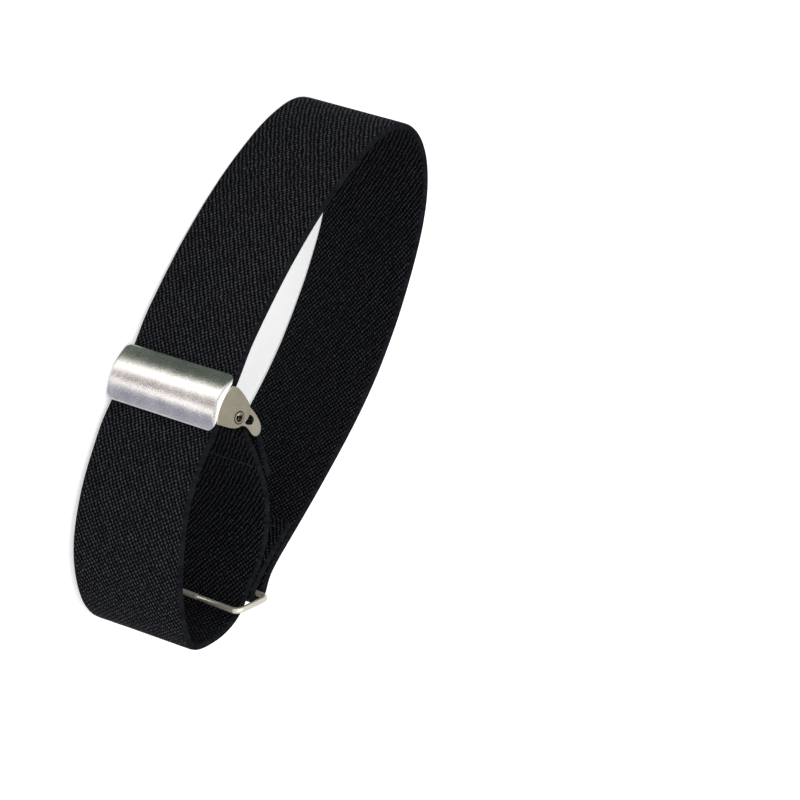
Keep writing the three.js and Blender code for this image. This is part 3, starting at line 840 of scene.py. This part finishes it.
def make_world():
    world = bpy.data.worlds.new("studio")
    bpy.context.scene.world = world
    world.use_nodes = True
    nodes = world.node_tree.nodes
    links = world.node_tree.links
    nodes.clear()
    output = nodes.new("ShaderNodeOutputWorld")
    background = nodes.new("ShaderNodeBackground")
    direction = nodes.new("ShaderNodeTexCoord")
    parts = nodes.new("ShaderNodeSeparateXYZ")
    links.new(direction.outputs["Generated"], parts.inputs[0])
    toward_viewer = nodes.new("ShaderNodeMath")
    toward_viewer.operation = "MULTIPLY"
    toward_viewer.inputs[1].default_value = -1
    links.new(parts.outputs["Y"], toward_viewer.inputs[0])
    around = nodes.new("ShaderNodeMath")
    around.operation = "ARCTAN2"
    links.new(parts.outputs["X"], around.inputs[0])
    links.new(toward_viewer.outputs[0], around.inputs[1])
    share = nodes.new("ShaderNodeMapRange")
    share.inputs["From Min"].default_value = -math.pi
    share.inputs["From Max"].default_value = math.pi
    links.new(around.outputs[0], share.inputs["Value"])
    bands = nodes.new("ShaderNodeValToRGB")
    ramp = bands.color_ramp
    while len(ramp.elements) < len(REFLECTED_BANDS):
        ramp.elements.new(0.5)
    for element, (angle, colour) in zip(ramp.elements, REFLECTED_BANDS):
        element.position = (angle + 180) / 360
        element.color = (*colour, 1)
    links.new(share.outputs[0], bands.inputs["Fac"])
    below = nodes.new("ShaderNodeMapRange")
    below.inputs["From Min"].default_value = BANDS_START
    below.inputs["From Max"].default_value = BANDS_FULL
    links.new(parts.outputs["Z"], below.inputs["Value"])
    mixed = nodes.new("ShaderNodeMix")
    mixed.data_type = "RGBA"
    mixed.inputs["A"].default_value = UPPER_LIGHT
    links.new(below.outputs[0], mixed.inputs["Factor"])
    links.new(bands.outputs["Color"], mixed.inputs["B"])
    links.new(mixed.outputs["Result"], background.inputs["Color"])
    links.new(background.outputs[0], output.inputs["Surface"])


# Materials

def new_material(name):
    """A material with a Principled shader: the material, its shader, its nodes and its links."""
    material = bpy.data.materials.new(name)
    material.use_nodes = True
    nodes = material.node_tree.nodes
    return material, nodes["Principled BSDF"], nodes, material.node_tree.links


def new_group(name, inputs, outputs):
    """An empty shader node group with these sockets: (name, kind, start value) and (name, kind)."""
    group = bpy.data.node_groups.new(name, "ShaderNodeTree")
    for socket_name, kind, value in inputs:
        socket = group.interface.new_socket(socket_name, in_out="INPUT", socket_type=kind)
        if value is not None:
            socket.default_value = value
    for socket_name, kind in outputs:
        group.interface.new_socket(socket_name, in_out="OUTPUT", socket_type=kind)
    return group, group.nodes.new("NodeGroupInput"), group.nodes.new("NodeGroupOutput")


class NodeAdder:
    """Short ways to add nodes to one tree. Each takes sockets or plain values and gives a socket back."""

    def __init__(self, tree):
        self.nodes = tree.nodes
        self.links = tree.links

    def feed(self, socket, value):
        if isinstance(value, bpy.types.NodeSocket):
            self.links.new(value, socket)
        elif value is not None:
            socket.default_value = value

    def math(self, operation, first, second=None, clamp=False):
        node = self.nodes.new("ShaderNodeMath")
        node.operation = operation
        node.use_clamp = clamp
        for socket, value in zip(node.inputs, (first, second)):
            self.feed(socket, value)
        return node.outputs[0]

    def plus(self, first, second):
        return self.math("ADD", first, second)

    def minus(self, first, second):
        return self.math("SUBTRACT", first, second)

    def times(self, first, second):
        return self.math("MULTIPLY", first, second)

    def cosine(self, cycles):
        """A wave that repeats once for each whole number."""
        return self.math("COSINE", self.times(cycles, math.tau))

    def dot(self, vector, constant):
        node = self.nodes.new("ShaderNodeVectorMath")
        node.operation = "DOT_PRODUCT"
        self.feed(node.inputs[0], vector)
        node.inputs[1].default_value = constant
        return node.outputs["Value"]

    def scaled(self, vector, factors):
        node = self.nodes.new("ShaderNodeVectorMath")
        node.operation = "MULTIPLY"
        self.feed(node.inputs[0], vector)
        node.inputs[1].default_value = factors
        return node.outputs["Vector"]

    def combine(self, x, y, z=0.0):
        node = self.nodes.new("ShaderNodeCombineXYZ")
        for socket, value in zip(node.inputs, (x, y, z)):
            self.feed(socket, value)
        return node.outputs[0]

    def separate(self, vector):
        node = self.nodes.new("ShaderNodeSeparateXYZ")
        self.feed(node.inputs[0], vector)
        return node.outputs

    def ranged(self, value, source, target=(0.0, 1.0), smooth=False):
        """Moves a value from the source range to the target range and keeps it inside."""
        node = self.nodes.new("ShaderNodeMapRange")
        node.interpolation_type = "SMOOTHSTEP" if smooth else "LINEAR"
        self.feed(node.inputs["Value"], value)
        for name, limit in zip(("From Min", "From Max", "To Min", "To Max"), (*source, *target)):
            node.inputs[name].default_value = limit
        return node.outputs["Result"]

    def noise(self, vector, scale, detail=2.0, roughness=0.5):
        node = self.nodes.new("ShaderNodeTexNoise")
        self.feed(node.inputs["Vector"], vector)
        node.inputs["Scale"].default_value = scale
        node.inputs["Detail"].default_value = detail
        node.inputs["Roughness"].default_value = roughness
        return node.outputs["Fac"]

    def white_noise(self, vector):
        node = self.nodes.new("ShaderNodeTexWhiteNoise")
        self.feed(node.inputs["Vector"], vector)
        return node.outputs["Value"]

    def mix(self, factor, first, second, blend="MIX"):
        node = self.nodes.new("ShaderNodeMix")
        node.data_type = "RGBA"
        node.blend_type = blend
        self.feed(node.inputs["Factor"], factor)
        self.feed(node.inputs["A"], first)
        self.feed(node.inputs["B"], second)
        return node.outputs["Result"]


# The weave: two waves in cycles for each width of strap, across and along, a third that is their sum,
# and the strength of each
FIRST_WAVE = (26.0, -20.25, 0.0)
SECOND_WAVE = (22.1, 36.4, 0.0)
WAVE_STRENGTHS = (1.15, 0.85, 0.35)

# How finely the two waves wander from their straight lines, how the second one's noise is stretched,
# and the spread of the wander in cycles
FIRST_WANDER = 17.0
SECOND_WANDER = 16.0
SECOND_WANDER_STRETCH = (1.7, 1.3, 1.0)
WANDER_AMOUNT = 1.1

# Where the waves' mean is a gap and where it is the top of a bead, and the spread of brightness from
# bead to bead and from fibre to fibre
BEAD_RANGE = (-0.22, 0.72)
BEAD_BRIGHTNESS = (0.45, 1.15)
FIBRE_FINENESS = (900.0, 160.0, 1.0)
FIBRE_RANGE = (0.3, 0.7)
FIBRE_BRIGHTNESS = (0.75, 1.2)

# The rims: where they begin, as shares of the way from the strap's middle to its edge, their fine ribs
# in cycles for each width of strap, the ribs' strength and the rims' height beside the beads' height of 1
RIM_RANGE = (0.965, 0.99)
RIM_RIBS = 90.0
RIM_RIB_DEPTH = 0.1
RIM_HEIGHT = 0.22

# The elastic's roughness in the gaps and on the beads, its relief, the thread's colour on the beads, and
# the near-black colour of the gaps, which is painted shade
WEAVE_ROUGHNESS = (0.95, 0.62)
WEAVE_DEPTH = 0.18
FLOAT_COLOUR = (0.038, 0.041, 0.0485, 1)
GAP_PAINTED_SHADE = (0.001, 0.001, 0.0015, 1)


def weave_group():
    """Woven floats of thread on a strap's UV map: their colour, height and roughness. The colour darkens
    with the height towards the gap colour, as painted shade in the hollows.
    """
    group, given, result = new_group(
        "woven_floats",
        [
            ("UV", "NodeSocketVector", None),
            ("Thread", "NodeSocketColor", FLOAT_COLOUR),
            ("Gap Painted Shade", "NodeSocketColor", GAP_PAINTED_SHADE),
            ("Unevenness", "NodeSocketFloat", WANDER_AMOUNT),
        ],
        [("Colour", "NodeSocketColor"), ("Height", "NodeSocketFloat"), ("Roughness", "NodeSocketFloat")],
    )
    add = NodeAdder(group)
    uv = given.outputs["UV"]
    unevenness = given.outputs["Unevenness"]
    first_wander = add.minus(add.noise(uv, FIRST_WANDER), 0.5)
    first = add.plus(add.dot(uv, FIRST_WAVE), add.times(first_wander, unevenness))
    second_wander = add.minus(add.noise(add.scaled(uv, SECOND_WANDER_STRETCH), SECOND_WANDER), 0.5)
    second = add.plus(add.dot(uv, SECOND_WAVE), add.times(second_wander, unevenness))
    total = None
    for phase, strength in zip((first, second, add.plus(first, second)), WAVE_STRENGTHS):
        wave = add.times(add.cosine(phase), strength)
        total = wave if total is None else add.plus(total, wave)
    beads = add.ranged(add.math("DIVIDE", total, sum(WAVE_STRENGTHS)), BEAD_RANGE, smooth=True)
    across, along, _ = add.separate(uv)
    off_middle = add.times(add.math("ABSOLUTE", add.minus(across, 0.5)), 2.0)
    at_rim = add.ranged(off_middle, RIM_RANGE, smooth=True)
    ribs = add.math("COSINE", add.times(along, RIM_RIBS * math.tau))
    rim_height = add.plus(add.times(ribs, RIM_RIB_DEPTH), RIM_HEIGHT)
    height = add.plus(add.times(beads, add.minus(1.0, at_rim)), add.times(rim_height, at_rim))
    cell = add.combine(add.math("ROUND", first), add.math("ROUND", second))
    luck = add.ranged(add.white_noise(cell), (0.0, 1.0), BEAD_BRIGHTNESS)
    fibres = add.noise(add.scaled(uv, FIBRE_FINENESS), 1.0, detail=1.0)
    fibre_light = add.ranged(fibres, FIBRE_RANGE, FIBRE_BRIGHTNESS)
    # The colour follows the height: the hollows between floats and between the rims' ribs get painted
    # shade, on top of each bead's and fibre's random tone
    brightness = add.math("MULTIPLY", add.times(height, luck), fibre_light, clamp=True)
    add.feed(result.inputs["Colour"], add.mix(brightness, given.outputs["Gap Painted Shade"], given.outputs["Thread"]))
    add.feed(result.inputs["Height"], height)
    add.feed(result.inputs["Roughness"], add.ranged(height, (0.0, 1.0), WEAVE_ROUGHNESS))
    return group


def place_group(material_nodes, group):
    node = material_nodes.new("ShaderNodeGroup")
    node.node_tree = group
    return node


def place_in_millimetres(nodes, add):
    """The Object coordinates, counted in millimetres."""
    coordinates = nodes.new("ShaderNodeTexCoord")
    return add.scaled(coordinates.outputs["Object"], (1 / MM, 1 / MM, 1 / MM))


def add_bump(nodes, links, shader, height, depth, strength):
    """Feeds a height to the shader's Normal as a bump of this depth in millimetres."""
    bump = nodes.new("ShaderNodeBump")
    bump.inputs["Distance"].default_value = depth * MM
    bump.inputs["Strength"].default_value = strength
    links.new(height, bump.inputs["Height"])
    links.new(bump.outputs["Normal"], shader.inputs["Normal"])


def elastic_material(weave):
    """Matt woven elastic on the strap's own UV map."""
    material, shader, nodes, links = new_material("woven_elastic")
    uv = nodes.new("ShaderNodeUVMap")
    uv.uv_map = "weave"
    floats = place_group(nodes, weave)
    links.new(uv.outputs["UV"], floats.inputs["UV"])
    links.new(floats.outputs["Colour"], shader.inputs["Base Color"])
    links.new(floats.outputs["Roughness"], shader.inputs["Roughness"])
    shader.inputs["Specular IOR Level"].default_value = 0.05
    add_bump(nodes, links, shader, floats.outputs["Height"], WEAVE_DEPTH, 0.8)
    return material


# Plating: how fine its brushing, speckle, painted glints and clouds are, in cycles for each millimetre
BRUSHING_FINENESS = (9.0, 9.0, 0.8)
SPECKLE_FINENESS = 5.0
PAINTED_GLINT_FINENESS = 4.2
CLOUD_FINENESS = 0.25

# The parts of the noise that turn into painted glints (bright dots painted into the colour), stains and
# cloudy roughness, how strong each is, the height below which the end is dulled, and the relief
PAINTED_GLINT_RANGE = (0.60, 0.72)
STAIN_RANGE = (0.35, 0.65)
STAIN_SHADES = (-0.5, 0.5)
CLOUD_RANGE = (0.3, 0.7)
CLOUD_ROUGHNESS = (-0.03, 0.03)
UNEVEN_SHADE = 1.1
PAINTED_GLINT_STRENGTH = 0.5
STAIN_SHADE = 0.22
UNEVEN_ROUGHNESS = 0.25
DULLED_HEIGHT = CLAMP_WIDTH * 0.6
PLATING_DEPTH = 0.02


def grain_group():
    """Brushed, speckled and faintly stained plating, with painted glints: bright dots in its colour. Places
    are in millimetres.
    """
    group, given, result = new_group(
        "brushed_plating",
        [
            ("Place", "NodeSocketVector", None),
            ("Colour", "NodeSocketColor", (0.7, 0.69, 0.67, 1)),
            ("Roughness", "NodeSocketFloat", 0.3),
            ("Grain", "NodeSocketFloat", 0.5),
            ("Dulled End", "NodeSocketFloat", 0.0),
        ],
        [("Colour", "NodeSocketColor"), ("Roughness", "NodeSocketFloat"), ("Height", "NodeSocketFloat")],
    )
    add = NodeAdder(group)
    place = given.outputs["Place"]
    amount = given.outputs["Grain"]
    brushed = add.noise(add.scaled(place, BRUSHING_FINENESS), 1.0, detail=4.0, roughness=0.65)
    speckle = add.noise(place, SPECKLE_FINENESS, detail=3.0, roughness=0.7)
    cloud = add.noise(place, CLOUD_FINENESS)
    uneven = add.times(add.minus(add.plus(brushed, speckle), 1.0), amount)
    # Painted glints: small random dots that brighten the colour, standing in for sparkle of light on the
    # plating
    painted_glints = add.times(add.ranged(add.noise(place, PAINTED_GLINT_FINENESS, detail=1.0), PAINTED_GLINT_RANGE), amount)
    stains = add.times(add.ranged(cloud, STAIN_RANGE, STAIN_SHADES), amount)
    shade = add.plus(add.times(uneven, UNEVEN_SHADE), add.times(painted_glints, PAINTED_GLINT_STRENGTH))
    shade = add.plus(1.0, shade)
    shade = add.plus(shade, add.times(stains, STAIN_SHADE))
    shaded = add.mix(1.0, given.outputs["Colour"], add.combine(shade, shade, shade), "MULTIPLY")
    rough = add.plus(given.outputs["Roughness"], add.times(uneven, UNEVEN_ROUGHNESS))
    rough = add.plus(rough, add.ranged(cloud, CLOUD_RANGE, CLOUD_ROUGHNESS))
    height = add.separate(place)[2]
    low_end = add.ranged(height, (0.0, DULLED_HEIGHT), (1.0, 0.0), smooth=True)
    rough = add.plus(rough, add.times(low_end, given.outputs["Dulled End"]))
    add.feed(result.inputs["Colour"], shaded)
    add.feed(result.inputs["Roughness"], rough)
    add.feed(result.inputs["Height"], add.plus(brushed, speckle))
    return group


# Sewing thread: its twist in cycles for each millimetre, its colours in painted shade and painted light
# along the twist, and its roughness
THREAD_TWIST = (4.0, 4.0, 3.0)
THREAD_PAINTED_SHADE = (0.006, 0.006, 0.007, 1)
THREAD_PAINTED_LIGHT = (0.05, 0.052, 0.06, 1)
THREAD_FUZZ_FINENESS = 3.0
THREAD_FUZZ_RANGE = (0.3, 0.7)
THREAD_ROUGHNESS = (0.6, 0.85)


def thread_material():
    """Dull black sewing thread with a twist, striped along the twist with painted shade and painted light.
    """
    material, shader, nodes, links = new_material("sewing_thread")
    add = NodeAdder(material.node_tree)
    place = place_in_millimetres(nodes, add)
    # The stripes along the twist are painted shade and painted light on the plies, not a change of the
    # thread's colour
    shade = add.ranged(add.cosine(add.dot(place, THREAD_TWIST)), (-1.0, 1.0))
    fuzz = add.noise(place, THREAD_FUZZ_FINENESS)
    links.new(add.mix(shade, THREAD_PAINTED_SHADE, THREAD_PAINTED_LIGHT), shader.inputs["Base Color"])
    links.new(add.ranged(fuzz, THREAD_FUZZ_RANGE, THREAD_ROUGHNESS), shader.inputs["Roughness"])
    shader.inputs["Specular IOR Level"].default_value = 0.1
    return material


def plated_material(name, grain, colour, roughness, grain_amount, bump_strength,
                    dulled_end=0.0, metallic=1.0):
    """Plated metal with its own colour and roughness, and its own share of the grain."""
    material, shader, nodes, links = new_material(name)
    add = NodeAdder(material.node_tree)
    place = place_in_millimetres(nodes, add)
    plating = place_group(nodes, grain)
    links.new(place, plating.inputs["Place"])
    plating.inputs["Colour"].default_value = (*colour, 1)
    plating.inputs["Roughness"].default_value = roughness
    plating.inputs["Grain"].default_value = grain_amount
    plating.inputs["Dulled End"].default_value = dulled_end
    links.new(plating.outputs["Colour"], shader.inputs["Base Color"])
    links.new(plating.outputs["Roughness"], shader.inputs["Roughness"])
    shader.inputs["Metallic"].default_value = metallic
    add_bump(nodes, links, shader, plating.outputs["Height"], PLATING_DEPTH, bump_strength)
    return material


def dress(piece, material, node):
    piece.data.materials.clear()
    piece.data.materials.append(material)
    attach(piece, "root")
    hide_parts(node)


bpy.context.scene.view_settings.view_transform = "Standard"
make_camera()
make_floor()
make_world()
for light_name, light_place, light_watts in LIGHTS:
    soft_light(light_name, light_place, light_watts)

elastic = elastic_material(weave_group())
grain = grain_group()
satin_plate = plated_material("satin_plate", grain, colour=(0.74, 0.725, 0.705), roughness=0.205,
                              grain_amount=0.8, bump_strength=0.45, dulled_end=0.05)
ear_plate = plated_material("ear_plate", grain, colour=(0.37, 0.335, 0.255), roughness=0.34,
                            grain_amount=0.7, bump_strength=0.4)
lever_plate = plated_material("lever_plate", grain, colour=(0.42, 0.385, 0.30), roughness=0.30,
                              grain_amount=0.7, bump_strength=0.4)
ring_plate = plated_material("ring_plate", grain, colour=(0.72, 0.67, 0.57), roughness=0.17,
                             grain_amount=0.4, bump_strength=0.15, metallic=0.68)
dress(make_elastic_strap(), elastic, "elastic_band")
dress(make_clamp_cover(), satin_plate, "cover_plate")
dress(make_clamp_ears(), ear_plate, "clamp_frame")
dress(make_clamp_toggle(), lever_plate, "clamp_lever")
dress(make_ring_wire(), ring_plate, "wire_ring")

thread = thread_material()
for stitches in (
    make_stitches("ring_end_stitches", RING_END_ROWS, *STITCHED_HEIGHTS),
    make_stitches("bar_end_stitches", BAR_END_ROWS, *STITCHED_HEIGHTS),
):
    stitches.data.materials.clear()
    stitches.data.materials.append(thread)
    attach(stitches, "root")

deselect_everything()
